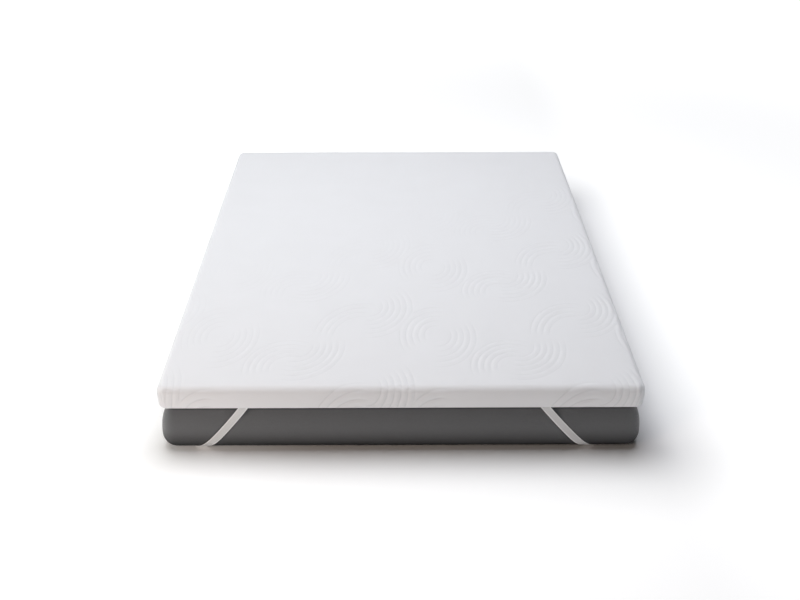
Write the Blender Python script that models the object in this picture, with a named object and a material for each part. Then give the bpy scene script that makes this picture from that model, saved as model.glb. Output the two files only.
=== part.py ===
"""Foam mattress topper with four elastic corner straps, on the plain mattress that they fit round.

Metres, +Z up. The origin is on the floor under the middle of the mattress, and the foot end is at -Y.
Each edge is swept along one outline of anchor points. "Out" is how far a point stands beyond the
nominal side of the bed, and is negative towards its middle.
"""
import math
from collections import namedtuple

import bmesh
import bpy
from mathutils import Vector
from mathutils.geometry import delaunay_2d_cdt

# Driving sizes
BED_WIDTH = 1.524
BED_LENGTH = 2.032
TOUCH_GAP = 0.0003

# Mattress: a soft slab whose edge is a superellipse above its widest line and another below it
MATTRESS_HEIGHT = 0.160
MATTRESS_WIDEST_AT = 0.050
MATTRESS_BULGE = 0.005
MATTRESS_TOP_REACH = 0.045
MATTRESS_BOTTOM_REACH = 0.040
MATTRESS_SQUARENESS = 2.0
MATTRESS_CORNER_RADIUS = 0.043
MATTRESS_EDGE_STEPS = 7

# Topper: a foam slab in one knit cover that runs over its top and sides
TOPPER_HEIGHT = 0.0762
TOPPER_TOP_ROLL = 0.019
TOPPER_BOTTOM_ROLL = 0.005
TOPPER_CORNER_RADIUS = 0.028
TOPPER_DRAW_IN = 0.0012
TOPPER_CROWN = 0.0025
TOPPER_CROWN_FLATNESS = 4
TOPPER_UNEVENNESS = 0.0005
TOPPER_ROLL_STEPS = 6
TOPPER_FOOT_STEPS = 2
# long waves of the top panel: radians a metre across and along the bed, and a phase
Wave = namedtuple("Wave", "across along phase")
TOPPER_WAVES = (Wave(9.0, 2.0, 0.6), Wave(-1.5, 6.5, 1.1))

# Elastic straps: each leaves the topper's lower edge, dives under a corner and comes up its other side
STRAP_WIDTH = 0.0245
STRAP_THICKNESS = 0.0015
STRAP_TAB = 0.015
STRAP_TAB_BEND = 0.004
STRAP_LEAVES_AT = -0.003
STRAP_GROOVE_PLAY = 0.0006
GROOVE_CUTTER_DEPTH = 0.006
# reach: how far from the corner it leaves the topper; slope: how far it leans there, as run over drop
Strap = namedtuple("Strap", "name side end reach slope")
STRAPS = (
    Strap("strap_front_left", -1, -1, 0.262, 0.76),
    Strap("strap_front_right", 1, -1, 0.304, 0.82),
    Strap("strap_back_left", -1, 1, 0.283, 0.79),
    Strap("strap_back_right", 1, 1, 0.283, 0.79),
)

# Ripples knitted into the cover: groups of arcs round one centre, drawn out along the bed
REPEAT_ACROSS = 0.73
REPEAT_ALONG = 0.50
REPEAT_ORIGIN = Vector((0.125, -0.705))
RIPPLE_PITCH = 0.021
RIPPLE_HEIGHT = 0.0016
RIPPLE_SEGMENTS = 7
RIPPLE_END_FADE = 1.5
RIM_FADE = 0.035
RIM_CLEAR = 0.010
# plain cover between the ripples: its net, and how many ripples or shares of a sweep it stays away
FIELD_SPACING = 0.095
FIELD_CLEAR_RINGS = 0.7
FIELD_CLEAR_SHARE = 0.1
# across and along: the centre in its repeat; inner: the smallest arc's radius; start and stop: degrees;
# stretch: how much longer the arcs are along the bed than across it
RippleGroup = namedtuple("RippleGroup", "across along inner arcs start stop stretch")
RIPPLES = (
    RippleGroup(0.000, 0.000, 0.055, 4, 75, 218, 1.50),
    RippleGroup(0.000, 0.000, 0.055, 4, -102, 32, 1.50),
    RippleGroup(0.240, -0.199, 0.068, 4, 60, 202, 1.19),
    RippleGroup(0.260, -0.063, 0.066, 5, -112, 14, 1.27),
    RippleGroup(0.475, -0.015, 0.110, 3, 75, 178, 1.43),
    RippleGroup(0.495, 0.195, 0.058, 5, -105, 42, 1.36),
)

KNIT_WHITE = (0.83, 0.83, 0.85)
ELASTIC_WHITE = (0.62, 0.60, 0.58)
CHARCOAL_KNIT = (0.085, 0.085, 0.088)


def fabric(name, colour, roughness):
    material = bpy.data.materials.new(name)
    material.use_nodes = True
    shader = material.node_tree.nodes["Principled BSDF"]
    shader.inputs["Base Color"].default_value = (*colour, 1.0)
    shader.inputs["Roughness"].default_value = roughness
    shader.inputs["Metallic"].default_value = 0.0
    return material


def finish_object(name, bm, material, parent, location=(0.0, 0.0, 0.0)):
    bmesh.ops.recalc_face_normals(bm, faces=bm.faces[:])
    mesh = bpy.data.meshes.new(name)
    bm.to_mesh(mesh)
    bm.free()
    mesh.materials.append(material)
    mesh.shade_smooth()
    mesh.set_sharp_from_angle(angle=math.radians(40))
    piece = bpy.data.objects.new(name, mesh)
    piece.parent = parent
    piece.location = location
    bpy.context.collection.objects.link(piece)
    return piece


# ---- outlines and rings ----

def bed_outline(radius, corner_steps, spacing):
    """Anchor and outward direction of each outline point, counter-clockwise from the front right."""
    core_x = BED_WIDTH / 2 - radius
    core_y = BED_LENGTH / 2 - radius
    corners = [Vector((core_x, -core_y)), Vector((core_x, core_y)),
               Vector((-core_x, core_y)), Vector((-core_x, -core_y))]
    outline = []
    for index, anchor in enumerate(corners):
        for step in range(corner_steps + 1):
            angle = math.pi / 2 * (index - 1 + step / corner_steps)
            outline.append((anchor, Vector((math.cos(angle), math.sin(angle)))))
        following = corners[(index + 1) % len(corners)]
        outward = outline[-1][1]
        parts = round((following - anchor).length / spacing)
        for part in range(1, parts):
            outline.append((anchor.lerp(following, part / parts), outward))
    return outline


def add_ring(bm, outline, radius, out, height, draw_in=0.0):
    """A closed ring of vertices and edges at one level of an edge."""
    core_x = BED_WIDTH / 2 - radius
    core_y = BED_LENGTH / 2 - radius
    ring = []
    for anchor, outward in outline:
        across = 1 - (anchor.x / core_x) ** 2
        along = 1 - (anchor.y / core_y) ** 2
        drawn = draw_in * (across * outward.y ** 2 + along * outward.x ** 2)
        place = anchor + outward * (radius + out - drawn)
        ring.append(bm.verts.new((place.x, place.y, height)))
    edges = [bm.edges.new((vert, ring[index - 1])) for index, vert in enumerate(ring)]
    return ring, edges


def sweep_edge(bm, outline, radius, section, draw_in=0.0):
    """Bridge a ring at each point of an edge section, from its underside to its top."""
    rings = [add_ring(bm, outline, radius, out, height, draw_in) for out, height in section]
    for (_, lower), (_, upper) in zip(rings, rings[1:]):
        bmesh.ops.bridge_loops(bm, edges=lower + upper)
    return rings[0][0], rings[-1][0]


# ---- mattress ----

def mattress_edge(angle):
    """Out and height of the mattress's edge at an angle above its widest line, and the way it faces."""
    above = angle > 0
    reach = MATTRESS_TOP_REACH if above else MATTRESS_BOTTOM_REACH
    rise = MATTRESS_HEIGHT - MATTRESS_WIDEST_AT if above else MATTRESS_WIDEST_AT
    power = 2 / MATTRESS_SQUARENESS
    cosine = max(math.cos(angle), 0.0)
    sine = abs(math.sin(angle))
    out = MATTRESS_BULGE - reach + reach * cosine ** power
    height = MATTRESS_WIDEST_AT + math.copysign(rise * sine ** power, angle)
    facing = Vector((cosine ** (2 - power) / reach, math.copysign(sine ** (2 - power) / rise, angle)))
    return out, height, facing.normalized()


def edge_angles():
    count = 2 * MATTRESS_EDGE_STEPS
    return [math.pi * (step / count - 0.5) for step in range(count + 1)]


def build_mattress(material, parent):
    bm = bmesh.new()
    outline = bed_outline(MATTRESS_CORNER_RADIUS, corner_steps=6, spacing=0.20)
    section = [mattress_edge(angle)[:2] for angle in edge_angles()]
    lowest, highest = sweep_edge(bm, outline, MATTRESS_CORNER_RADIUS, section)
    bm.faces.new(lowest)
    bm.faces.new(highest)
    mattress = finish_object("mattress", bm, material, parent)
    for strap in STRAPS:
        groove = mattress.modifiers.new(f"groove_{strap.name}", "BOOLEAN")
        groove.operation = "DIFFERENCE"
        groove.solver = "EXACT"
        groove.object = groove_cutter(strap, parent)
    return mattress


def groove_cutter(strap, parent):
    """Slab that leaves the room a strap presses into the soft underside, square across the corner."""
    fold_out, fold_reach = strap_route(strap)[-1][:2]
    inward = (fold_reach - fold_out) / 2
    roof = 2 * TOUCH_GAP + STRAP_THICKNESS + STRAP_GROOVE_PLAY
    width = STRAP_WIDTH + 2 * STRAP_GROOVE_PLAY
    length = math.hypot(fold_reach, fold_reach) + 2 * STRAP_WIDTH
    bm = bmesh.new()
    bmesh.ops.create_cube(bm, size=1.0)
    bmesh.ops.scale(bm, vec=(length, width, GROOVE_CUTTER_DEPTH), verts=bm.verts[:])
    mesh = bpy.data.meshes.new(f"groove_{strap.name}")
    bm.to_mesh(mesh)
    bm.free()
    cutter = bpy.data.objects.new(mesh.name, mesh)
    cutter.parent = parent
    cutter.location = (strap.side * (BED_WIDTH / 2 - inward),
                       strap.end * (BED_LENGTH / 2 - inward), roof - GROOVE_CUTTER_DEPTH / 2)
    cutter.rotation_euler.z = math.radians(-45 * strap.side * strap.end)
    cutter.hide_render = True
    cutter.display_type = "WIRE"
    bpy.context.collection.objects.link(cutter)
    return cutter


# ---- straps ----

def strap_tab():
    """Tab under the topper's lower edge and the bend below it: out, height and the way the face looks."""
    height = MATTRESS_HEIGHT - STRAP_THICKNESS / 2
    bend_out = STRAP_LEAVES_AT - STRAP_TAB_BEND
    bend_centre = Vector((bend_out, height - STRAP_TAB_BEND))
    tab = [(bend_out - STRAP_TAB, height, Vector((0, 1)))]
    for turn in (0, 30, 60, 90):
        facing = Vector((math.sin(math.radians(turn)), math.cos(math.radians(turn))))
        tab.append((*(bend_centre + STRAP_TAB_BEND * facing), facing))
    return tab


def strap_on_mattress(angle):
    """Centre line of a strap that touches the mattress's edge at an angle."""
    lift = TOUCH_GAP + STRAP_THICKNESS / 2
    out, height, facing = mattress_edge(angle)
    return out + lift * facing.x, height + lift * facing.y, facing


def strap_wrap(leaves):
    """Centre line of a strap from where it touches the mattress to where it lies flat on the underside."""
    leaves_out, leaves_height, _ = leaves
    wrap = [strap_on_mattress(angle) for angle in reversed(edge_angles())]
    wrap = [point for point in wrap if point[1] < leaves_height]
    # a stretched band first touches where the straight line from its tab leans out the most
    leans = [(out - leaves_out) / (leaves_height - height) for out, height, _ in wrap]
    touches = leans.index(max(leans))
    floor_height = TOUCH_GAP + STRAP_THICKNESS / 2
    wrap = [point for point in wrap[touches:] if point[1] > floor_height]

    lowest, highest = -math.pi / 2, 0.0
    while highest - lowest > 1e-6:
        between = (lowest + highest) / 2
        if strap_on_mattress(between)[1] > floor_height:
            highest = between
        else:
            lowest = between
    wrap.append((strap_on_mattress(highest)[0], floor_height, Vector((0, -1))))
    return wrap


def strap_route(strap):
    """Out, reach from the corner, half width along the edge, height and facing, at each crossing line.

    The strap leans over more and more on its way down, until it crosses the underside at 45 degrees.
    """
    tab = strap_tab()
    section = tab + strap_wrap(tab[-1])
    travel = [0.0]
    for before, after in zip(section, section[1:]):
        travel.append(travel[-1] + math.dist(before[:2], after[:2]))
    tab_length = travel[len(tab) - 1]
    wrap_length = travel[-1] - tab_length
    route = []
    for (out, height, facing), distance in zip(section, travel):
        run = distance - tab_length
        slope = strap.slope + (1 - strap.slope) * max(run, 0.0) / wrap_length
        along = strap.reach - run * (strap.slope + slope) / 2
        half_width = STRAP_WIDTH / 2 * math.hypot(1, slope)
        route.append((out, along, half_width, height, facing))
    return route


def build_strap(strap, material, parent):
    """One flat band: four vertices at each crossing line, up one side of the corner and down the other."""
    half = STRAP_THICKNESS / 2
    route = strap_route(strap)
    bm = bmesh.new()
    loops = []
    for over_end in (True, False):
        crossings = route if over_end else reversed(route)
        for out, along, half_width, height, facing in crossings:
            loop = []
            for face, edge in ((1, 1), (1, -1), (-1, -1), (-1, 1)):
                beyond = out + face * half * facing.x
                inward = -(along + edge * half_width)
                x, y = (inward, beyond) if over_end else (beyond, inward)
                loop.append(bm.verts.new((strap.side * x, strap.end * y, height + face * half * facing.y)))
            loops.append(loop)
    rings = [[bm.edges.new((vert, loop[index - 1])) for index, vert in enumerate(loop)] for loop in loops]
    for before, after in zip(rings, rings[1:]):
        bmesh.ops.bridge_loops(bm, edges=before + after)
    bm.faces.new(loops[0])
    bm.faces.new(loops[-1])
    corner = (strap.side * BED_WIDTH / 2, strap.end * BED_LENGTH / 2, 0.0)
    return finish_object(strap.name, bm, material, parent, corner)


# ---- topper ----

def topper_section():
    """Edge of the topper from its underside to the rim of its top panel."""
    section = []
    for step in range(TOPPER_FOOT_STEPS + 1):
        angle = math.pi / 2 * step / TOPPER_FOOT_STEPS
        section.append((TOPPER_BOTTOM_ROLL * (math.sin(angle) - 1),
                        TOPPER_BOTTOM_ROLL * (1 - math.cos(angle))))
    for step in range(TOPPER_ROLL_STEPS + 1):
        angle = math.pi / 2 * step / TOPPER_ROLL_STEPS
        section.append((TOPPER_TOP_ROLL * (math.cos(angle) - 1),
                        TOPPER_HEIGHT - TOPPER_TOP_ROLL * (1 - math.sin(angle))))
    return section


def placed_ripples():
    """Every ripple group that reaches the topper: its centre and its row of the table."""
    placed = []
    columns = math.ceil(BED_WIDTH / REPEAT_ACROSS)
    rows = math.ceil(BED_LENGTH / REPEAT_ALONG)
    for column in range(-columns, columns + 1):
        for row in range(-rows, rows + 1):
            corner = REPEAT_ORIGIN + Vector((column * REPEAT_ACROSS, row * REPEAT_ALONG))
            for group in RIPPLES:
                centre = corner + Vector((group.across, group.along))
                reach = group.inner + group.arcs * RIPPLE_PITCH
                beside = abs(centre.x) > BED_WIDTH / 2 + reach
                beyond = abs(centre.y) > BED_LENGTH / 2 + reach * group.stretch
                if not beside and not beyond:
                    placed.append((centre, group))
    return placed


def rim_distance(x, y):
    """Distance from a point of the top panel to the rim where its edge roll starts."""
    return min(BED_WIDTH / 2 - abs(x), BED_LENGTH / 2 - abs(y)) - TOPPER_TOP_ROLL


def ripple_place(centre, group, x, y):
    """Radius and share of the sweep at a point, as one group of ripples sees it."""
    across = x - centre.x
    along = (y - centre.y) / group.stretch
    turned = (math.degrees(math.atan2(along, across)) - group.start) % 360
    return math.hypot(across, along), turned / (group.stop - group.start)


def ripple_rise(x, y, placed):
    """How far the ripples lift the cover at a point."""
    rise = 0.0
    for centre, group in placed:
        radius, share = ripple_place(centre, group, x, y)
        ring = (radius - group.inner) / RIPPLE_PITCH
        if share > 1 or not -0.5 <= ring <= group.arcs - 0.5:
            continue
        fade = min(1.0, RIPPLE_END_FADE * math.sin(math.pi * share))
        rise = max(rise, fade * (1 + math.cos(2 * math.pi * ring)) / 2)
    near_rim = min(1.0, max(0.0, rim_distance(x, y)) / RIM_FADE)
    return RIPPLE_HEIGHT * rise * near_rim


def panel_height(x, y, placed):
    """Height of the top panel: a low crown, slightly uneven, with the ripples on it."""
    across = x / (BED_WIDTH / 2 - TOPPER_TOP_ROLL)
    along = y / (BED_LENGTH / 2 - TOPPER_TOP_ROLL)
    inside = (1 - across ** TOPPER_CROWN_FLATNESS) * (1 - along ** TOPPER_CROWN_FLATNESS)
    waves = math.prod(math.sin(wave.across * x + wave.along * y + wave.phase) for wave in TOPPER_WAVES)
    return TOPPER_HEIGHT + inside * (TOPPER_CROWN + TOPPER_UNEVENNESS * waves) + ripple_rise(x, y, placed)


def ripple_lines(placed):
    """Crest and valley lines of every group, cut off where the top panel ends."""
    lines = []
    for centre, group in placed:
        for half_step in range(2 * group.arcs + 1):
            radius = group.inner + RIPPLE_PITCH * (half_step - 1) / 2
            line = []
            for step in range(RIPPLE_SEGMENTS + 1):
                share = step / RIPPLE_SEGMENTS
                angle = math.radians(group.start + share * (group.stop - group.start))
                point = centre + Vector((radius * math.cos(angle), radius * group.stretch * math.sin(angle)))
                if rim_distance(point.x, point.y) > RIM_CLEAR:
                    line.append(point)
                elif line:
                    lines.append(line)
                    line = []
            if line:
                lines.append(line)
    return lines


def near_ripples(centre, group, x, y):
    """Whether a point lies on a group of ripples or close beside it."""
    radius, share = ripple_place(centre, group, x, y)
    ring = (radius - group.inner) / RIPPLE_PITCH
    beside = ring < -0.5 - FIELD_CLEAR_RINGS or ring > group.arcs - 0.5 + FIELD_CLEAR_RINGS
    full_turn = 360 / (group.stop - group.start)
    return not beside and not 1 + FIELD_CLEAR_SHARE < share < full_turn - FIELD_CLEAR_SHARE


def field_points(placed):
    """Points of the plain cover between the ripples."""
    points = []
    columns = round(BED_WIDTH / FIELD_SPACING)
    rows = round(BED_LENGTH / FIELD_SPACING)
    for column in range(1, columns):
        for row in range(1, rows):
            x = BED_WIDTH * (column / columns - 0.5)
            y = BED_LENGTH * (row / rows - 0.5)
            on_ripples = any(near_ripples(centre, group, x, y) for centre, group in placed)
            if rim_distance(x, y) > 2 * RIM_CLEAR and not on_ripples:
                points.append(Vector((x, y)))
    return points


def fill_top_panel(bm, rim):
    """Net the top panel inside its rim, with edges along every crest and valley, and raise it."""
    placed = placed_ripples()
    points = [vert.co.xy for vert in rim]
    edges = [(index, (index + 1) % len(rim)) for index in range(len(rim))]
    for line in ripple_lines(placed):
        first = len(points)
        points += line
        edges += [(index, index + 1) for index in range(first, first + len(line) - 1)]
    points += field_points(placed)
    inside_only = 1
    merge_distance = 1e-6
    panel = [list(range(len(rim)))]
    places, _, faces, sources, _, _ = delaunay_2d_cdt(points, edges, panel, inside_only, merge_distance)
    verts = []
    for place, source in zip(places, sources):
        own_rim = [index for index in source if index < len(rim)]
        if own_rim:
            verts.append(rim[own_rim[0]])
        else:
            verts.append(bm.verts.new((place.x, place.y, panel_height(place.x, place.y, placed))))
    for face in faces:
        bm.faces.new([verts[index] for index in face])


def build_topper(material, parent):
    bm = bmesh.new()
    outline = bed_outline(TOPPER_CORNER_RADIUS, corner_steps=5, spacing=0.125)
    lowest, rim = sweep_edge(bm, outline, TOPPER_CORNER_RADIUS, topper_section(), TOPPER_DRAW_IN)
    bm.faces.new(lowest)
    fill_top_panel(bm, rim)
    return finish_object("topper", bm, material, parent, (0.0, 0.0, MATTRESS_HEIGHT + TOUCH_GAP))


def main():
    for piece in list(bpy.data.objects):
        bpy.data.objects.remove(piece, do_unlink=True)
    bed = bpy.data.objects.new("bed", None)
    bpy.context.collection.objects.link(bed)
    build_mattress(fabric("mattress_cover", CHARCOAL_KNIT, 0.85), bed)
    elastic = fabric("elastic", ELASTIC_WHITE, 0.7)
    for strap in STRAPS:
        build_strap(strap, elastic, bed)
    build_topper(fabric("knit_cover", KNIT_WHITE, 0.9), bed)


main()
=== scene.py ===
import math

import bmesh
import bpy
import numpy as np
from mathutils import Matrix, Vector
from mathutils.bvhtree import BVHTree
from mathutils.kdtree import KDTree


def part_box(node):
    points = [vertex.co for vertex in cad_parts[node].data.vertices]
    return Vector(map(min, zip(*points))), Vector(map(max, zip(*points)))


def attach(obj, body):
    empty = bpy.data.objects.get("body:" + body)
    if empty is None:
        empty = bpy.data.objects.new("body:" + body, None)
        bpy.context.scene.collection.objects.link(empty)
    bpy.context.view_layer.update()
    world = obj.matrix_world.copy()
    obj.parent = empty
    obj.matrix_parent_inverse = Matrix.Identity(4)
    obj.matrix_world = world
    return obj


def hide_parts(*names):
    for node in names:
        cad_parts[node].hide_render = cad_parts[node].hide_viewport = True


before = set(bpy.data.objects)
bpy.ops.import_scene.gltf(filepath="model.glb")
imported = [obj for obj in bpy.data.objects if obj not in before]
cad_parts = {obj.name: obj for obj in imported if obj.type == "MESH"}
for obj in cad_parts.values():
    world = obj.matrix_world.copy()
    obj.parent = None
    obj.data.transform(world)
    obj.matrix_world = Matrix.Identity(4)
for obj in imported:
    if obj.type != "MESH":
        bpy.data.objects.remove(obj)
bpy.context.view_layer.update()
topperLow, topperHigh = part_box("topper")
mattressLow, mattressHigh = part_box("mattress")
touchGap = topperLow.z - mattressHigh.z
tolerance = 1e-6
tiny = 1e-9  # keeps a division by a length from failing
print("frame loaded")


# soft slabs: a gridded box whose corners and edges are rounded off, for the topper and the mattress

topperLook = {
    "height": 0.0762,  # without its crown
    "cornerRadius": 0.028,
    "topReach": (0.019, 0.019),  # how far the edge roll comes in, and how far down
    "footReach": (0.005, 0.005),
    "squareness": 2.0,  # 2 is a round edge, more is squarer
    "cell": (0.027, 0.038),
    "sideCells": 2,
    "rippleFrom": 0.04,  # cells where the ripples are stronger than this are cut once more
    "leastArea": 0.00003,  # apart from cells up to this area
    "shortest": 0.008,  # and edges up to this length
    "sideBulge": 0.003,  # how far the sides stand out at half height
    "crown": 0.0025,
    "unevenness": 0.0005,
    # two waves over the top, multiplied: radians a metre across and along the bed, and their start
    "waves": [(9.0, 2.0, 0.6), (-1.5, 6.5, 1.1)],
    "voxel": 0.018,
    "pressure": 4.0,
    "coreHold": 0.3,
    "mostPuff": 0.0020,
}

mattressLook = {
    "height": mattressHigh.z - mattressLow.z,
    "cornerRadius": 0.048,
    "topReach": (0.045, 0.110),
    "footReach": (0.040, 0.050),
    "squareness": 2.0,
    "cell": (0.040, 0.040),
    "sideCells": 0,
    "voxel": 0.022,
    "pressure": 4.0,
    "coreHold": 0.3,
    "mostPuff": 0.0025,
}

cutLook = {
    "turns": (0, 15, 30),  # where a rounded edge is cut, in degrees
    "closest": 0.0018,  # a cut nearer than this to the one before it is left out
    "sideways": 0.5,  # a face is on the side where its normal's height is nearer to 0 than this
}


def turnShares():
    # where a rounded edge is cut, as shares of its reach
    return [math.tan(math.radians(turn)) for turn in cutLook["turns"]]


def edgeStations(half, look, cell):
    # cuts across one axis: even ones over the flat middle, and closer ones where edges are rounded
    reaches = [look["cornerRadius"], look["topReach"][0], look["footReach"][0]]
    flat = half - max(reaches)
    count = max(1, round(2 * flat / cell))
    stations = [flat * (2 * k / count - 1) for k in range(count + 1)]
    kept = []
    for place in sorted(half - reach * (1 - share) for reach in reaches for share in turnShares()):
        if place - max(kept, default=flat) > cutLook["closest"]:
            kept.append(place)
    return sorted(stations + kept + [-place for place in kept])


def heightStations(look):
    topDown, footUp = look["topReach"][1], look["footReach"][1]
    top = look["height"] - topDown
    stations = [top + topDown * share for share in turnShares()]
    stations += [footUp * (1 - share) for share in turnShares()]
    for k in range(1, look["sideCells"] + 1):
        stations.append(footUp + (top - footUp) * k / (look["sideCells"] + 1))
    # rounded, so that two equal cuts are made once
    return sorted(set(round(place, 6) for place in stations))


def griddedBox(half, look):
    bm = bmesh.new()
    bmesh.ops.create_cube(bm, size=2.0)
    bmesh.ops.translate(bm, verts=bm.verts, vec=(0, 0, 1))
    bmesh.ops.scale(bm, verts=bm.verts, vec=(half.x, half.y, look["height"] / 2))
    cuts = [(Vector((1, 0, 0)), edgeStations(half.x, look, look["cell"][0])),
            (Vector((0, 1, 0)), edgeStations(half.y, look, look["cell"][1])),
            (Vector((0, 0, 1)), heightStations(look))]
    for axis, stations in cuts:
        for place in stations:
            geom = bm.verts[:] + bm.edges[:] + bm.faces[:]
            bmesh.ops.bisect_plane(bm, geom=geom, dist=tolerance, plane_co=axis * place, plane_no=axis)
    bm.normal_update()
    return bm


def cutEdges(bm, faces, cuts, shortest=0.0):
    # cuts the edges of these faces, apart from those up to the shortest length
    edges = {edge for face in faces for edge in face.edges if edge.calc_length() > shortest}
    bmesh.ops.subdivide_edges(bm, edges=list(edges), cuts=cuts, use_grid_fill=True)


def roundOff(a, b, squareness):
    # turns the outer corner of a square, whose sides run from 0 to 1, into an arc
    reach = np.maximum(a, b)
    turn = np.arctan2(b, a)
    power = 2 / squareness
    return reach * np.cos(turn) ** power, reach * np.sin(turn) ** power


def roundedPlaces(box, half, look):
    # box: places on the gridded box. Gives the rounded places, and where each lies on the unrolled cover
    radius = look["cornerRadius"]
    core = np.array([half.x - radius, half.y - radius])
    flat = box[:, :2].copy()
    share = (np.abs(flat) - core) / radius
    both = (share > 0).all(axis=1)
    a, b = roundOff(share[both, 0], share[both, 1], squareness=2.0)
    flat[both] = np.sign(flat[both]) * (core + radius * np.stack([a, b], axis=1))

    anchor = np.clip(flat, -core, core)
    away = flat - anchor
    distance = np.linalg.norm(away, axis=1)
    outward = away / np.maximum(distance, tiny)[:, None]
    out = distance - radius
    height = box[:, 2].copy()
    unrolled = out.copy()

    topIn, topDown = look["topReach"]
    top = look["height"] - topDown
    a, b = (out + topIn) / topIn, (height - top) / topDown
    roll = (a > 0) & (b > 0)
    a, b = roundOff(a[roll], b[roll], look["squareness"])
    out[roll] = topIn * (a - 1)
    height[roll] = top + topDown * b
    unrolled[roll] = -topIn + (topIn + topDown) / 2 * np.arctan2(a, b)

    footIn, footUp = look["footReach"]
    a, b = (out + footIn) / footIn, (footUp - height) / footUp
    foot = (a > 0) & (b > 0) & ~roll
    a, b = roundOff(a[foot], b[foot], look["squareness"])
    out[foot] = footIn * (a - 1)
    height[foot] = footUp * (1 - b)

    side = ~roll & (box[:, 2] < top + tolerance)
    rollLength = (topIn + topDown) / 2 * math.pi / 2
    unrolled[side] = -topIn + rollLength + (top - height[side])

    beyond = distance > 0
    place = np.where(beyond[:, None], anchor + outward * (radius + out)[:, None], flat)
    onCover = np.where(beyond[:, None], anchor + outward * (radius + unrolled)[:, None], flat)
    return np.column_stack([place, height]), onCover


def halfwayUp(places, look):
    # 1 at half of the slab's height, and 0 at its top and underside
    return np.sin(np.pi * np.clip(places[:, 2] / look["height"], 0, 1))


def smoothStep(share):
    share = np.clip(share, 0, 1)
    return share * share * (3 - 2 * share)


def readVectors(elements, key):
    flat = np.zeros(len(elements) * 3, np.float32)
    elements.foreach_get(key, flat)
    return flat.reshape(-1, 3).astype(float)


def coordinates(mesh):
    return readVectors(mesh.vertices, "co")


def normalsOf(mesh):
    return readVectors(mesh.vertex_normals, "vector")


def moveTo(mesh, places):
    mesh.vertices.foreach_set("co", places.astype(np.float32).ravel())
    mesh.update()


def surfaceValues(mesh, name, values):
    # keeps a number or a vector at each vertex for the materials
    kind, key = ("FLOAT", "value") if values.ndim == 1 else ("FLOAT_VECTOR", "vector")
    attribute = mesh.attributes.new(name, kind, "POINT")
    attribute.data.foreach_set(key, np.ascontiguousarray(values, np.float32).ravel())


def newMesh(name, bm):
    mesh = bpy.data.meshes.new(name)
    bm.to_mesh(mesh)
    return mesh


def addPiece(name, mesh):
    piece = bpy.data.objects.new(name, mesh)
    bpy.context.scene.collection.objects.link(piece)
    mesh.shade_smooth()
    return piece


def modified(piece):
    # the mesh as its modifiers leave it
    graph = bpy.context.evaluated_depsgraph_get()
    return bpy.data.meshes.new_from_object(piece.evaluated_get(graph), depsgraph=graph)


# air: a short cloth run under pressure, which puffs up a slab's cover a little

clothLook = {
    "quality": 5,
    "stretchStiffness": 20,
    "bendStiffness": 2,
    "pinStiffness": 1,
    "frames": 20,
    "neighbours": 14,  # how many places of the trial each place of the slab follows
}


def evenTrial(name, places, bm, look):
    # a copy of the rounded slab with an even mesh
    mesh = newMesh(name, bm)
    moveTo(mesh, places)
    trial = addPiece(name, mesh)
    remesh = trial.modifiers.new("even", "REMESH")
    remesh.mode = "VOXEL"
    remesh.voxel_size = look["voxel"]
    evenMesh = modified(trial)
    trial.modifiers.clear()
    trial.data = evenMesh
    return trial


def runCloth(trial, start, look):
    # how far the air pushes each place of the trial. Its underside is pinned, and the foam core holds the
    # rest softly
    held = trial.vertex_groups.new(name="held")
    under = start[:, 2] < start[:, 2].min() + look["voxel"] / 2
    held.add(np.flatnonzero(under).tolist(), 1.0, "REPLACE")
    held.add(np.flatnonzero(~under).tolist(), look["coreHold"], "REPLACE")
    cloth = trial.modifiers.new("cloth", "CLOTH")
    cloth.settings.quality = clothLook["quality"]
    cloth.settings.tension_stiffness = clothLook["stretchStiffness"]
    cloth.settings.compression_stiffness = clothLook["stretchStiffness"]
    cloth.settings.bending_stiffness = clothLook["bendStiffness"]
    cloth.settings.pin_stiffness = clothLook["pinStiffness"]
    cloth.settings.use_pressure = True
    cloth.settings.uniform_pressure_force = look["pressure"]
    cloth.settings.effector_weights.gravity = 0
    cloth.settings.vertex_group_mass = held.name
    cloth.collision_settings.use_collision = False
    cloth.point_cache.frame_start = 1
    cloth.point_cache.frame_end = clothLook["frames"]
    for step in range(1, clothLook["frames"] + 1):
        bpy.context.scene.frame_set(step)
    pushed = coordinates(modified(trial)) - start
    bpy.context.scene.frame_set(1)
    return pushed


def spreadPush(pushed, start, places):
    # carries the push at the trial's places over to the slab's places, each from its nearest few
    tree = KDTree(len(start))
    for k, place in enumerate(start):
        tree.insert(place, k)
    tree.balance()
    puff = np.zeros((len(places), 3))
    for k, place in enumerate(places):
        near = tree.find_n(place, clothLook["neighbours"])
        distances = np.array([distance for _, _, distance in near])
        weights = (1 - (distances / (distances[-1] + tolerance)) ** 2) ** 2
        puff[k] = weights @ pushed[[index for _, index, _ in near]] / weights.sum()
    return puff


def airPuff(name, places, bm, look):
    # how far the air pushes out each of the slab's rounded places, which stays under mostPuff
    trial = evenTrial(name, places, bm, look)
    start = coordinates(trial.data)
    puff = spreadPush(runCloth(trial, start, look), start, places)
    bpy.data.objects.remove(trial)
    size = np.linalg.norm(puff, axis=1)
    print(f"  {name}: pushed out by up to {1000 * size.max():.1f} mm before the cap")
    return puff * (look["mostPuff"] / (look["mostPuff"] + size))[:, None]


# ripples knitted into the cover: groups of arcs, charted in one repeat

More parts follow.
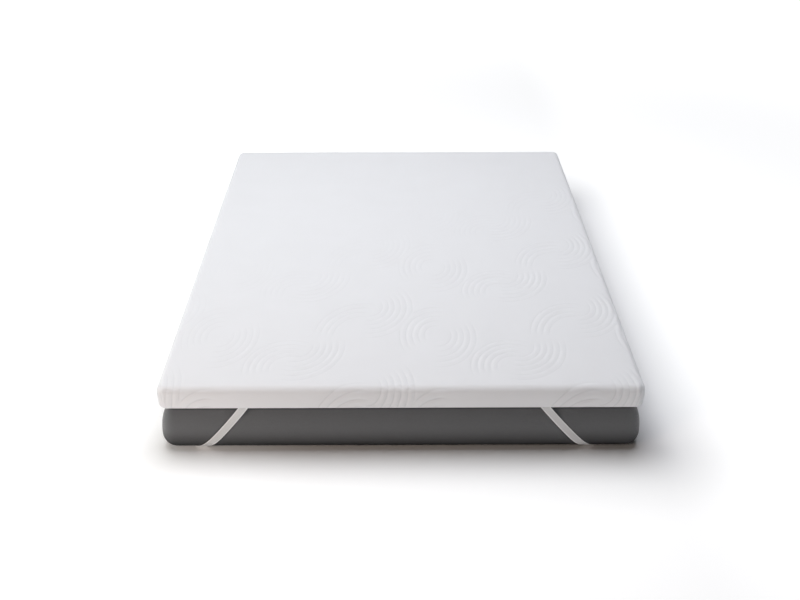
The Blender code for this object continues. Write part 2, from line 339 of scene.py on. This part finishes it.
rippleChart = {
    "repeat": (0.73, 0.50),  # across and along the bed
    "origin": (0.125, -0.705),
    "columns": range(-3, 4),  # of repeats, enough for the whole cover
    "rows": range(-3, 5),
    "pitch": 0.021,
    "depth": 0.0015,
    "sideDepth": 0.0021,
    "sideFrom": 0.010,  # how far under the top the sides' own depth starts, and over what height it grows
    "sideRamp": 0.025,
    "footRamp": 0.01,  # over what height the ripples grow from nothing above the rounded lower edge
    "topLines": 0.5,  # how strong the painted groove shade and the groove bump are on top, against the sides
    "ridgeWidth": 0.5,  # under 1 makes the ridges broad and the grooves narrow
    "grooveLevel": 0.6,  # how much of the depth lies below the plain knit
    "endFade": 2.0,
    "edgeFade": 2,  # a group grows from nothing over one ridge divided by this, at its inner and outer edge
    "endReach": 0.15,  # how far past its ends a group's ridge count is carried on
    "farDepth": 0.12,  # what is left of the depth at the head end
    "fadeFrom": -0.75,  # where along the bed the depth starts to fade, over what length,
    "fadeLength": 1.25,
    "fadeLean": 0.6,  # and how much later it does so towards the right
    # centre across and along, radius of the first ridge, number of ridges, start and stop in degrees, stretch
    "groups": [
        (0.000, 0.000, 0.055, 4, 75, 218, 1.50),
        (0.000, 0.000, 0.055, 4, -102, 32, 1.50),
        (0.240, -0.199, 0.068, 4, 60, 202, 1.19),
        (0.260, -0.063, 0.066, 5, -112, 14, 1.27),
        (0.475, -0.015, 0.110, 3, 75, 178, 1.43),
        (0.495, 0.195, 0.058, 5, -105, 42, 1.36),
    ],
}


def rippleFade(x, y, chart):
    # the ripples are strongest near the foot end and to the right
    share = (y - chart["fadeFrom"]) / chart["fadeLength"] - chart["fadeLean"] * x
    return 1 - (1 - chart["farDepth"]) * smoothStep(share)


def rippleGroups(chart):
    # every group of every repeat, with the place of its centre on the cover
    across, along = chart["repeat"]
    left, foot = chart["origin"]
    for column in chart["columns"]:
        for row in chart["rows"]:
            for cx, cy, *arcs in chart["groups"]:
                yield (left + column * across + cx, foot + row * along + cy, *arcs)


def rippleField(x, y, chart):
    # at each place of the cover: how strong the ripples are, from 0 to 1, how strong the lines between them
    # are, which stop where two groups meet, and the place counted in ridges
    strength, second, ring = np.zeros(len(x)), np.zeros(len(x)), np.zeros(len(x))
    deepest = np.full(len(x), -1.0)
    for cx, cy, inner, ridges, start, stop, stretch in rippleGroups(chart):
        dx, dy = x - cx, (y - cy) / stretch
        count = (np.hypot(dx, dy) - inner) / chart["pitch"]
        share = (np.degrees(np.arctan2(dy, dx)) - start) % 360 / (stop - start)
        inside = np.minimum(count + 1, ridges - count)
        pastEnd = np.minimum(share - 1, 360 / (stop - start) - share)
        near = np.flatnonzero((inside > -1) & (pastEnd < chart["endReach"]))
        share, count, inside = share[near], count[near], inside[near]
        fade = np.where(share < 1, np.clip(chart["endFade"] * np.sin(np.pi * share), 0, 1), 0)
        fade *= smoothStep(chart["edgeFade"] * (count + 1)) * smoothStep(chart["edgeFade"] * (ridges - count))
        before = strength[near]
        second[near] = np.maximum(second[near], np.minimum(fade, before))
        chosen = (fade > before) | ((fade + before == 0) & (inside > deepest[near]))
        strength[near[chosen]] = fade[chosen]
        deepest[near[chosen]] = inside[chosen]
        ring[near[chosen]] = count[chosen]
    return strength, strength - second, ring


# topper: foam in a jacquard knit cover

def offUnderside(bm):
    return [face for face in bm.faces if face.normal.z > -cutLook["sideways"]]


def refineCover(bm, half, look, chart):
    # closer cells on the top and sides, and closest under the ripples
    cutEdges(bm, offUnderside(bm), cuts=1)
    faces = offUnderside(bm)
    centres = np.array([face.calc_center_median() for face in faces])
    _, cover = roundedPlaces(centres, half, look)
    strength, _, _ = rippleField(cover[:, 0], cover[:, 1], chart)
    rippled = [face for face, strong in zip(faces, strength > look["rippleFrom"])
               if strong and face.calc_area() > look["leastArea"]]
    cutEdges(bm, rippled, cuts=2, shortest=look["shortest"])


def shapeTopper(places, half, look):
    # moves the places: sides that stand out, a low crown and a little unevenness on the top panel
    bulge = look["sideBulge"] * halfwayUp(places, look)
    places[:, 0] *= 1 + bulge / half.x
    places[:, 1] *= 1 + bulge / half.y
    u, v = places[:, 0] / half.x, places[:, 1] / half.y
    inside = np.clip(1 - u ** 4, 0, 1) * np.clip(1 - v ** 4, 0, 1)
    onTop = np.clip((places[:, 2] - look["height"] / 2) / (look["height"] / 2), 0, 1)
    waves = np.ones(len(places))
    for across, along, start in look["waves"]:
        waves *= np.sin(across * places[:, 0] + along * places[:, 1] + start)
    places[:, 2] += onTop * inside * (look["crown"] + look["unevenness"] * waves)
    places[:, 2] += topperLow.z


def raiseRipples(mesh, places, cover, look, chart):
    # ridges and grooves along the cover's normals, deeper on the sides
    height = places[:, 2]
    strength, lines, ring = rippleField(cover[:, 0], cover[:, 1], chart)
    rise = strength * (((1 + np.cos(2 * np.pi * ring)) / 2) ** chart["ridgeWidth"] - chart["grooveLevel"])
    fade = rippleFade(cover[:, 0], cover[:, 1], chart)
    onSide = smoothStep((topperHigh.z - chart["sideFrom"] - height) / chart["sideRamp"])
    depth = fade * (chart["depth"] + (chart["sideDepth"] - chart["depth"]) * onSide)
    depth *= smoothStep((height - topperLow.z - look["footReach"][1]) / chart["footRamp"])
    moveTo(mesh, places + normalsOf(mesh) * (depth * rise)[:, None])
    surfaceValues(mesh, "knitPlace", np.column_stack([cover, height]))
    surfaceValues(mesh, "ring", ring)
    # lines: how strong the painted shade and the bump along each groove are
    surfaceValues(mesh, "lines", lines * fade * (chart["topLines"] + (1 - chart["topLines"]) * onSide))


def makeTopper():
    look, chart = topperLook, rippleChart
    half = Vector((topperHigh.x, topperHigh.y, 0))
    bm = griddedBox(half, look)
    refineCover(bm, half, look, chart)
    mesh = newMesh("topperCover", bm)
    places, cover = roundedPlaces(coordinates(mesh), half, look)
    places += airPuff("topperTrial", places, bm, look)
    bm.free()
    shapeTopper(places, half, look)
    moveTo(mesh, places)
    raiseRipples(mesh, places, cover, look, chart)
    piece = addPiece("topperCover", mesh)
    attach(piece, "root")
    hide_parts("topper")
    print(f"topper made, {len(mesh.polygons)} faces")
    return piece


# straps: flat elastic bands from the topper's lower edge, round a corner of the mattress

strapLook = {
    "width": 0.0245,
    "thickness": 0.0015,
    "tab": 0.015,
    "tabRows": 3,
    "tabBend": 0.004,
    "bendStep": 15,  # degrees from row to row round the tab's bend
    "leavesAt": -0.003,  # how far inside the topper's edge the strap comes out
    # first and last angle above the mattress's widest line at which its edge is tried, and the steps between
    "wrapAngles": (80, -75, 200),
    "freeRows": 5,
    "wrapRows": 26,
    "underRows": 8,
    "ribs": 8,
    "ribColumns": 4,
    "ribDepth": 0.00018,
    "border": 0.0006,  # how much thinner the borders are
    "sharpAngle": 50,
}

# name, node, side of the bed, end of the bed, distance of the tab from the corner, slope at the tab
strapChart = [
    ("strapFrontLeft", "strap_front_left", -1, -1, 0.262, 0.76),
    ("strapFrontRight", "strap_front_right", 1, -1, 0.304, 0.82),
    ("strapBackLeft", "strap_back_left", -1, 1, 0.283, 0.79),
    ("strapBackRight", "strap_back_right", 1, 1, 0.283, 0.79),
]


def mattressEdge(angle, lift):
    # out and height of a place lifted off the mattress's edge, at an angle above its widest line
    look = mattressLook
    reach, rise = look["topReach"] if angle > 0 else look["footReach"]
    widest = look["footReach"][1]
    power = 2 / look["squareness"]
    cosine, sine = max(math.cos(angle), 0.0), abs(math.sin(angle))
    facing = Vector((cosine ** (2 - power) / reach, math.copysign(sine ** (2 - power) / rise, angle)))
    facing.normalize()
    out = mattressHigh.x - topperHigh.x - reach + reach * cosine ** power
    height = widest + math.copysign(rise * sine ** power, angle)
    return out + lift * facing.x, height + lift * facing.y, facing


def strapSection(look):
    # the strap seen along the mattress's side: how far out, height and facing of each row, from the tab's
    # end to the underside, and the number of rows up to the end of the tab's bend
    lift = touchGap + look["thickness"] / 2
    tabHeight = mattressHigh.z - look["thickness"] / 2
    bendOut = look["leavesAt"] - look["tabBend"]
    section = []
    for k in range(look["tabRows"], 0, -1):
        section.append((bendOut - look["tab"] * k / look["tabRows"], tabHeight, Vector((0, 1))))
    centre = Vector((bendOut, tabHeight - look["tabBend"]))
    for turn in range(0, 91, look["bendStep"]):
        facing = Vector((math.sin(math.radians(turn)), math.cos(math.radians(turn))))
        section.append((*(centre + look["tabBend"] * facing), facing))
    leaves = section[-1]
    tabRows = len(section)

    # straight to where it first touches the mattress's edge, and then along it
    first, last, steps = look["wrapAngles"]
    angles = [math.radians(first - (first - last) * k / steps) for k in range(steps + 1)]
    wrap = [mattressEdge(angle, lift) for angle in angles]
    wrap = [row for row in wrap if lift < row[1] < leaves[1]]
    leans = [(row[0] - leaves[0]) / (leaves[1] - row[1]) for row in wrap]
    touches = leans.index(max(leans))
    for k in range(1, look["freeRows"]):
        share = k / look["freeRows"]
        out = leaves[0] + share * (wrap[touches][0] - leaves[0])
        height = leaves[1] + share * (wrap[touches][1] - leaves[1])
        section.append((out, height, leaves[2].lerp(wrap[touches][2], share)))
    for k in range(look["wrapRows"]):
        section.append(wrap[touches + round(k * (len(wrap) - 1 - touches) / (look["wrapRows"] - 1))])
    lastOut = wrap[-1][0] - (wrap[-1][1] - lift)
    section.append((lastOut, lift, Vector((0, -1))))
    return section, tabRows


def strapRoute(reach, startSlope, look):
    # one row of the strap at each crossing line: out, distance from the corner, half width, height, facing
    section, tabRows = strapSection(look)
    travel = [0.0]
    for before, after in zip(section, section[1:]):
        travel.append(travel[-1] + math.dist(before[:2], after[:2]))
    tabLength = travel[tabRows - 1]
    rows = []
    for (out, height, facing), distance in zip(section, travel):
        run = distance - tabLength
        slope = startSlope + (1 - startSlope) * max(run, 0) / (travel[-1] - tabLength)
        along = reach - run * (startSlope + slope) / 2
        rows.append((out, along, look["width"] / 2 * math.hypot(1, slope), height, facing))
    return rows


def strapPlace(row, share, face, overEnd, look):
    # a place on one row: share from -1 to 1 across the strap, face from -1 to 1 through it
    out, along, halfWidth, height, facing = row
    half = look["thickness"] / 2
    beyond = out + face * half * facing.x
    inward = -(along + share * halfWidth)
    x, y = (inward, beyond) if overEnd else (beyond, inward)
    return Vector((x, y, height + face * half * facing.y))


def bandPlace(rows, k, share, face, look):
    # a place on row k of the whole band: down the mattress's end, across its underside and up its side
    under = k - len(rows)
    if under < 0:
        return strapPlace(rows[k], share, face, True, look)
    if under >= look["underRows"]:
        return strapPlace(rows[look["underRows"] - 1 - under], share, face, False, look)
    first = strapPlace(rows[-1], share, face, True, look)
    last = strapPlace(rows[-1], share, face, False, look)
    return first.lerp(last, (under + 1) / (look["underRows"] + 1))


def flatBand(rowCount, columns):
    # a flat band from -1 to 1 across, with rows 1 apart: cut into rows first and then into columns
    bm = bmesh.new()
    bmesh.ops.create_cube(bm, size=2.0)
    bmesh.ops.translate(bm, verts=bm.verts, vec=(0, 1, 0))
    bmesh.ops.scale(bm, verts=bm.verts, vec=(1, (rowCount - 1) / 2, 1))
    longEdges = [edge for edge in bm.edges if abs(edge.verts[0].co.y - edge.verts[1].co.y) > 1]
    bmesh.ops.subdivide_edges(bm, edges=longEdges, cuts=rowCount - 2, use_grid_fill=True)
    wideEdges = [edge for edge in bm.edges if abs(edge.verts[0].co.x - edge.verts[1].co.x) > 1]
    bmesh.ops.subdivide_edges(bm, edges=wideEdges, cuts=columns - 1, use_grid_fill=True)
    return bm


def makeStrap(name, node, side, end, reach, startSlope):
    look = strapLook
    rows = strapRoute(reach, startSlope, look)
    rowCount = 2 * len(rows) + look["underRows"]
    centres = [bandPlace(rows, k, 0, 0, look) for k in range(rowCount)]
    travel = [0.0]
    for before, after in zip(centres, centres[1:]):
        travel.append(travel[-1] + (after - before).length)

    bm = flatBand(rowCount, look["ribColumns"] * look["ribs"])
    weave = bm.verts.layers.float_vector.new("weave")
    for vert in bm.verts:
        share, k, face = vert.co.x, round(vert.co.y), vert.co.z
        # ribs along the band, and thinner selvedges
        rib = (1 - math.cos(2 * math.pi * look["ribs"] * (share + 1) / 2)) / 2
        thin = 1 - look["ribDepth"] * rib / look["thickness"] * 2
        if abs(share) > 1 - tolerance:
            thin = 1 - look["border"] / look["thickness"]
        vert[weave] = (share * look["width"] / 2, travel[k], 0)
        place = bandPlace(rows, k, share, face * thin, look)
        vert.co = (side * (topperHigh.x + place.x), end * (topperHigh.y + place.y), place.z)
    bmesh.ops.recalc_face_normals(bm, faces=bm.faces)
    mesh = newMesh(name, bm)
    bm.free()
    piece = addPiece(name, mesh)
    mesh.set_sharp_from_angle(angle=math.radians(look["sharpAngle"]))
    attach(piece, "root")
    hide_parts(node)
    print(f"{name} made, {1000 * travel[-1]:.0f} mm long")
    return piece


# mattress: plain, soft edges, pressed in under the straps

pressLook = {
    "closer": (0.045, 0.032, 0.020),  # how far from a strap the cells are halved once more
    "shortest": 0.004,  # edges up to this long aren't halved
    "spare": 0.0004,  # room between a strap and the groove over it, on top of the usual gap
    "grooveReach": 0.034,  # how far from a strap's middle line the groove ends, and how wide its slopes are
    "grooveRamp": 0.016,
    "bulge": 0.0015,  # foam that stands up beside a strap
    "bulgeFrom": 0.0007,
    "bulgeRamp": 0.0025,
    "bulgeReach": 0.030,
    "bulgeUp": 0.03,  # over what height the bulge grows from nothing above the underside,
    "bulgeDown": 0.02,  # and below the top
    # over what distance past bulgeFrom the painted shade beside a strap fades out
    "creaseShade": 0.0045,
    "recessShade": 0.9,  # how dark the painted shade makes the cover deep under the topper's edge, and from which height
    "recessFrom": 0.141,
    "recessRamp": 0.008,
    "shadeUp": 0.095,  # how far up painted shade darkens the cover towards its lower edge
}


def fromStrapLine(places, side, end, reach, startSlope):
    # how far each place is from the middle line of one strap's stretch on the underside
    rows = strapRoute(reach, startSlope, strapLook)
    fold = rows[-1][1] - rows[-1][0]
    inward = (topperHigh.x - side * places[:, 0]) + (topperHigh.y - end * places[:, 1])
    return np.abs((inward - fold) / math.sqrt(2))


def strapSurfaces(straps):
    corners, faces = [], []
    for strap in straps:
        first = len(corners)
        corners += [vert.co for vert in strap.data.vertices]
        faces += [[first + corner for corner in face.vertices] for face in strap.data.polygons]
    return BVHTree.FromPolygons(corners, faces)


def distancesTo(surfaces, places, most):
    distances = np.full(len(places), most)
    for k, place in enumerate(places):
        found = surfaces.find_nearest(Vector(place), most)
        if found[0] is not None:
            distances[k] = found[3]
    return distances


def refineMattress(bm, half, surfaces, look, press):
    # closer cells on the sides and the underside, and closest near the straps
    cutEdges(bm, [face for face in bm.faces if face.normal.z < cutLook["sideways"]], cuts=1)
    for reach in press["closer"]:
        faces = bm.faces[:]
        centres = np.array([face.calc_center_median() for face in faces])
        near = distancesTo(surfaces, roundedPlaces(centres, half, look)[0], reach) < reach
        cutEdges(bm, [face for face, close in zip(faces, near) if close], 1, press["shortest"])


def liftOverStraps(places, press):
    # moves the places: a shallow groove in the underside over each strap
    clearance = 2 * touchGap + strapLook["thickness"] + press["spare"]
    for _, _, *course in strapChart:
        lifted = smoothStep((press["grooveReach"] - fromStrapLine(places, *course)) / press["grooveRamp"])
        places[:, 2] += lifted * np.clip(clearance - places[:, 2], 0, None)


def pressIn(mesh, places, surfaces, look, press):
    # foam that stands up beside the straps, and painted shade on the cover beside them, deep under the
    # topper's edge and towards its lower edge
    height = places[:, 2]
    distance = distancesTo(surfaces, places, press["bulgeReach"])
    bulge = smoothStep((distance - press["bulgeFrom"]) / press["bulgeRamp"])
    bulge *= 1 - smoothStep(distance / press["bulgeReach"])
    above, below = height / press["bulgeUp"], (look["height"] - height) / press["bulgeDown"]
    bulge *= smoothStep(above) * smoothStep(below)
    moveTo(mesh, places + normalsOf(mesh) * (press["bulge"] * bulge)[:, None])
    # painted shade beside and under each strap, and deep under the topper's edge
    creaseShade = 1 - smoothStep((distance - press["bulgeFrom"]) / press["creaseShade"])
    recessShade = press["recessShade"] * smoothStep((height - press["recessFrom"]) / press["recessRamp"])
    surfaceValues(mesh, "creaseShade", np.maximum(creaseShade, recessShade))
    # painted shade: 1 at the underside, fading out by shadeUp
    surfaceValues(mesh, "low", 1 - smoothStep(height / press["shadeUp"]))


def makeMattress(straps):
    look, press = mattressLook, pressLook
    half = Vector((mattressHigh.x, mattressHigh.y, 0))
    surfaces = strapSurfaces(straps)
    bm = griddedBox(half, look)
    refineMattress(bm, half, surfaces, look, press)
    mesh = newMesh("mattressCover", bm)
    places, cover = roundedPlaces(coordinates(mesh), half, look)
    # the top and the underside stay flat, where the topper and the floor hold them
    free = halfwayUp(places, look)
    places += airPuff("mattressTrial", places, bm, look) * free[:, None]
    bm.free()
    liftOverStraps(places, press)
    moveTo(mesh, places)
    surfaceValues(mesh, "knitPlace", np.column_stack([cover, places[:, 2]]))
    pressIn(mesh, places, surfaces, look, press)
    piece = addPiece("mattressCover", mesh)
    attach(piece, "root")
    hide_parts("mattress")
    print(f"mattress made, {len(mesh.polygons)} faces")
    return piece


# finishes

softFinish = {
    "sheenRoughness": 0.6,
    "specular": 0.25,
}


def startMaterial(name, look):
    material = bpy.data.materials.new(name)
    material.use_nodes = True
    shader = material.node_tree.nodes["Principled BSDF"]
    shader.inputs["Roughness"].default_value = look["roughness"]
    shader.inputs["Sheen Weight"].default_value = look["sheen"]
    shader.inputs["Sheen Roughness"].default_value = softFinish["sheenRoughness"]
    shader.inputs["Specular IOR Level"].default_value = softFinish["specular"]
    return material, material.node_tree, shader


def addNode(tree, kind, inputs=None, **settings):
    # inputs: for each name or number of an input, its value or the output that it is linked to
    node = tree.nodes.new(kind)
    for key, value in settings.items():
        setattr(node, key, value)
    for key, value in (inputs or {}).items():
        if isinstance(value, bpy.types.NodeSocket):
            tree.links.new(value, node.inputs[key])
        else:
            node.inputs[key].default_value = value
    return node


def surfacePlace(tree, name):
    return addNode(tree, "ShaderNodeAttribute", attribute_name=name).outputs["Vector"]


def surfaceNumber(tree, name):
    return addNode(tree, "ShaderNodeAttribute", attribute_name=name).outputs["Fac"]


def bands(tree, place, direction, period):
    # a wave across one direction: Blender's bands repeat every 2 pi / 20 units at scale 1
    inputs = {"Vector": place, "Scale": 2 * math.pi / 20 / period}
    wave = addNode(tree, "ShaderNodeTexWave", inputs, wave_type="BANDS", bands_direction=direction)
    return wave.outputs["Fac"]


def cloud(tree, place, size, detail):
    inputs = {"Vector": place, "Scale": 1 / size, "Detail": detail}
    return addNode(tree, "ShaderNodeTexNoise", inputs).outputs["Fac"]


def mathNode(tree, operation, first, second=0.0):
    return addNode(tree, "ShaderNodeMath", {0: first, 1: second}, operation=operation).outputs[0]


def rangeShare(tree, value, start, stop, low=0.0, high=1.0):
    # rises smoothly from low to high while the value goes from start to stop
    inputs = {"Value": value, "From Min": start, "From Max": stop, "To Min": low, "To Max": high}
    return addNode(tree, "ShaderNodeMapRange", inputs, interpolation_type="SMOOTHSTEP").outputs[0]


def blendColours(tree, share, low, high):
    # the mix node's inputs 6 and 7 are its two colours, and its output 2 is the blend
    low, high = [(*colour, 1) if isinstance(colour, tuple) else colour for colour in (low, high)]
    return addNode(tree, "ShaderNodeMix", {"Factor": share, 6: low, 7: high}, data_type="RGBA").outputs[2]


def bumpFrom(tree, height, strength, distance, onto=None):
    inputs = {"Height": height, "Strength": strength, "Distance": distance}
    if onto is not None:
        inputs["Normal"] = onto
    return addNode(tree, "ShaderNodeBump", inputs).outputs["Normal"]


def knitHeight(tree, place, look):
    # loops in wales and courses, with some fuzz
    wales, courses = bands(tree, place, "X", look["wale"]), bands(tree, place, "Y", look["course"])
    loops = mathNode(tree, "MULTIPLY", wales, courses)
    return mathNode(tree, "ADD", loops, cloud(tree, place, *look["fuzz"]))


knitLook = {
    "roughness": 0.92,
    "sheen": 0.12,
    "colour": (0.815, 0.818, 0.84),
    "patchColour": (0.795, 0.797, 0.815),
    "patches": (0.12, 3.0),  # size and detail
    "grooveShade": (0.735, 0.737, 0.759),  # painted shade in the deepest groove between two ridges
    "lineWidth": 0.16,  # its half width in ridges
    "lineDepth": 0.0004,
    "wale": 0.0016,
    "course": 0.0012,
    "fuzz": (0.0009, 3.0),  # size and detail
    "loopBump": (0.35, 0.0004),  # strength and distance
}


def knitMaterial():
    look = knitLook
    material, tree, shader = startMaterial("whiteKnit", look)
    place = surfacePlace(tree, "knitPlace")
    patches = cloud(tree, place, *look["patches"])
    colour = blendColours(tree, patches, look["colour"], look["patchColour"])
    # a groove runs half a ridge away from each ridge's middle line
    offMiddle = mathNode(tree, "SUBTRACT", mathNode(tree, "FRACT", surfaceNumber(tree, "ring")), 0.5)
    fromLine = mathNode(tree, "ABSOLUTE", offMiddle)
    nearLine = rangeShare(tree, fromLine, 0.0, look["lineWidth"], 1.0, 0.0)
    onLine = mathNode(tree, "MULTIPLY", nearLine, surfaceNumber(tree, "lines"))
    # painted shade darkens the colour along the middle of each groove
    colour = blendColours(tree, onLine, colour, look["grooveShade"])
    tree.links.new(colour, shader.inputs["Base Color"])
    grooved = bumpFrom(tree, mathNode(tree, "MULTIPLY", onLine, -1.0), 1.0, look["lineDepth"])
    knitted = bumpFrom(tree, knitHeight(tree, place, look), *look["loopBump"], grooved)
    tree.links.new(knitted, shader.inputs["Normal"])
    return material


mattressFinish = {
    "roughness": 0.85,
    "sheen": 0.5,
    "colour": (0.102, 0.106, 0.112),
    "fleckColour": (0.138, 0.143, 0.150),
    "flecks": (0.004, 4.0),  # size and detail
    # painted shade towards the lower edge
    "paintedLowShade": (0.024, 0.025, 0.027),
    # painted shade beside the straps and deep under the topper's edge
    "paintedCreaseShade": (0.020, 0.021, 0.022),
    "wale": 0.0020,
    "course": 0.0015,
    "fuzz": (0.0012, 3.0),
    "loopBump": (0.4, 0.0005),
}


def charcoalMaterial():
    look = mattressFinish
    material, tree, shader = startMaterial("charcoalKnit", look)
    place = surfacePlace(tree, "knitPlace")
    low = surfaceNumber(tree, "low")
    colour = blendColours(tree, cloud(tree, place, *look["flecks"]), look["colour"], look["fleckColour"])
    # painted shade towards the lower edge
    colour = blendColours(tree, low, colour, look["paintedLowShade"])
    # painted shade beside the straps and deep under the topper's edge
    colour = blendColours(tree, surfaceNumber(tree, "creaseShade"), colour, look["paintedCreaseShade"])
    tree.links.new(colour, shader.inputs["Base Color"])
    # the sheen fades out with the painted shade towards the lower edge
    tree.links.new(rangeShare(tree, low, 0.0, 1.0, look["sheen"], 0.0), shader.inputs["Sheen Weight"])
    knitted = bumpFrom(tree, knitHeight(tree, place, look), *look["loopBump"])
    tree.links.new(knitted, shader.inputs["Normal"])
    return material


elasticLook = {
    "roughness": 0.7,
    "sheen": 0.1,
    "colour": (0.78, 0.785, 0.79),
    # painted shade in the low places of the weave
    "between": (0.635, 0.64, 0.645),
    # lighter colour over both borders of the band
    "border": (0.87, 0.875, 0.88),
    "lighterBorderWidth": 0.0035,
    "lighterBorderBlend": 0.001,
    "weft": 0.0011,
    "weftShare": 0.5,  # how high the weft is against the ribs
    "weaveBump": (0.5, 0.0003),
}


def elasticMaterial():
    look = elasticLook
    material, tree, shader = startMaterial("elasticWeave", look)
    place = surfacePlace(tree, "weave")
    ribs = bands(tree, place, "X", strapLook["width"] / strapLook["ribs"])
    weft = bands(tree, place, "Y", look["weft"])
    height = mathNode(tree, "ADD", ribs, mathNode(tree, "MULTIPLY", weft, look["weftShare"]))
    # painted shade: the weave is darker where it lies low between the ribs and the weft
    colour = blendColours(tree, height, look["between"], look["colour"])
    parts = addNode(tree, "ShaderNodeSeparateXYZ", {0: place})
    fromMiddle = mathNode(tree, "ABSOLUTE", parts.outputs["X"])
    # the band is lighter over both borders
    start, blend = strapLook["width"] / 2 - look["lighterBorderWidth"], look["lighterBorderBlend"]
    onLighterBorder = rangeShare(tree, fromMiddle, start - blend, start + blend)
    colour = blendColours(tree, onLighterBorder, colour, look["border"])
    tree.links.new(colour, shader.inputs["Base Color"])
    tree.links.new(bumpFrom(tree, height, *look["weaveBump"]), shader.inputs["Normal"])
    return material


# studio

floorLook = {
    "size": 200,
    "roughness": 0.9,
    "sheen": 0.0,
    "colour": (0.95, 0.95, 0.95),
    "glowColour": (1.0, 1.0, 1.0),
    # distance from the mattress or place along X, where its glow starts and stops growing, and the glow. The
    # glow is painted light: it is missing next to the mattress, a painted shadow round it, and grows to the
    # right and the left of it; far off it keeps the floor evenly white
    "glow": [
        ("away", 0.0, 0.40, 0.30),
        ("away", 0.8, 4.5, 0.62),
        ("X", 0.80, 1.1, 0.08),
        ("X", -0.2, -0.9, 0.12),
    ],
}

studioLook = {
    "skyColour": (1.0, 1.0, 1.0),
    "skyStrength": 0.05,
    "aim": (0.0, 0.0, 0.2),
    # name, place, size, power, colour
    "lights": [
        ("above", (0.0, 0.5, 4.5), 4.0, 151, (0.93, 0.945, 1.0)),
        ("aboveLeft", (-1.8, 0.6, 3.8), 3.5, 60, (1.0, 1.0, 0.94)),
        ("left", (-3.6, -0.6, 1.2), 1.6, 12, (0.70, 0.93, 1.0)),
        ("nearFront", (-1.9, -2.7, 1.3), 1.0, 20, (1.0, 0.83, 0.72)),
    ],
}

cameraLook = {
    "place": (-0.0189, -3.70658, 2.04796),
    "downward": 29.12,  # this and the turn in degrees, the lens and the sensor in millimetres
    "turn": -0.323,
    "lens": 46.89,
    "sensor": 36,
    "farthest": 100,
}


def floorMaterial():
    look = floorLook
    material, tree, shader = startMaterial("paleFloor", look)
    shader.inputs["Base Color"].default_value = (*look["colour"], 1)
    shader.inputs["Emission Color"].default_value = (*look["glowColour"], 1)
    place = addNode(tree, "ShaderNodeTexCoord").outputs["Object"]
    parts = addNode(tree, "ShaderNodeSeparateXYZ", {0: place})
    squares = []
    for axis, half in (("X", mattressHigh.x), ("Y", mattressHigh.y)):
        beyond = mathNode(tree, "SUBTRACT", mathNode(tree, "ABSOLUTE", parts.outputs[axis]), half)
        squares.append(mathNode(tree, "POWER", mathNode(tree, "MAXIMUM", beyond, 0.0), 2.0))
    away = mathNode(tree, "SQRT", mathNode(tree, "ADD", *squares))
    measures = {"away": away, "X": parts.outputs["X"]}
    total = 0.0
    # painted light summed from the ramps: none next to the mattress, which paints a shadow there
    for measure, start, stop, glow in look["glow"]:
        total = mathNode(tree, "ADD", rangeShare(tree, measures[measure], start, stop, 0.0, glow), total)
    tree.links.new(total, shader.inputs["Emission Strength"])
    return material


def makeStudio():
    look = studioLook
    bm = bmesh.new()
    bmesh.ops.create_grid(bm, x_segments=1, y_segments=1, size=floorLook["size"])
    floor = addPiece("floor", newMesh("floor", bm))
    bm.free()
    floor.data.materials.append(floorMaterial())

    world = bpy.data.worlds.new("studio")
    world.use_nodes = True
    sky = world.node_tree.nodes["Background"]
    sky.inputs["Color"].default_value = (*look["skyColour"], 1)
    sky.inputs["Strength"].default_value = look["skyStrength"]
    bpy.context.scene.world = world

    aim = Vector(look["aim"])
    for name, place, size, power, colour in look["lights"]:
        light = bpy.data.lights.new(name, "AREA")
        light.shape = "DISK"
        light.size = size
        light.energy = power
        light.color = colour
        lamp = bpy.data.objects.new(name, light)
        bpy.context.scene.collection.objects.link(lamp)
        lamp.location = place
        lamp.rotation_euler = (aim - Vector(place)).to_track_quat("-Z", "Y").to_euler()
    bpy.context.scene.view_settings.view_transform = "Standard"


def makeCamera():
    look = cameraLook
    camera = bpy.data.objects.new("camera", bpy.data.cameras.new("camera"))
    bpy.context.scene.collection.objects.link(camera)
    camera.data.sensor_width = look["sensor"]
    camera.data.lens = look["lens"]
    camera.data.clip_end = look["farthest"]
    camera.location = look["place"]
    camera.rotation_euler = (math.radians(90 - look["downward"]), 0, math.radians(look["turn"]))
    bpy.context.scene.camera = camera


makeCamera()
makeStudio()
topper = makeTopper()
topper.data.materials.append(knitMaterial())
elastic = elasticMaterial()
straps = [makeStrap(*row) for row in strapChart]
for strap in straps:
    strap.data.materials.append(elastic)
mattress = makeMattress(straps)
mattress.data.materials.append(charcoalMaterial())
print("finishes set")
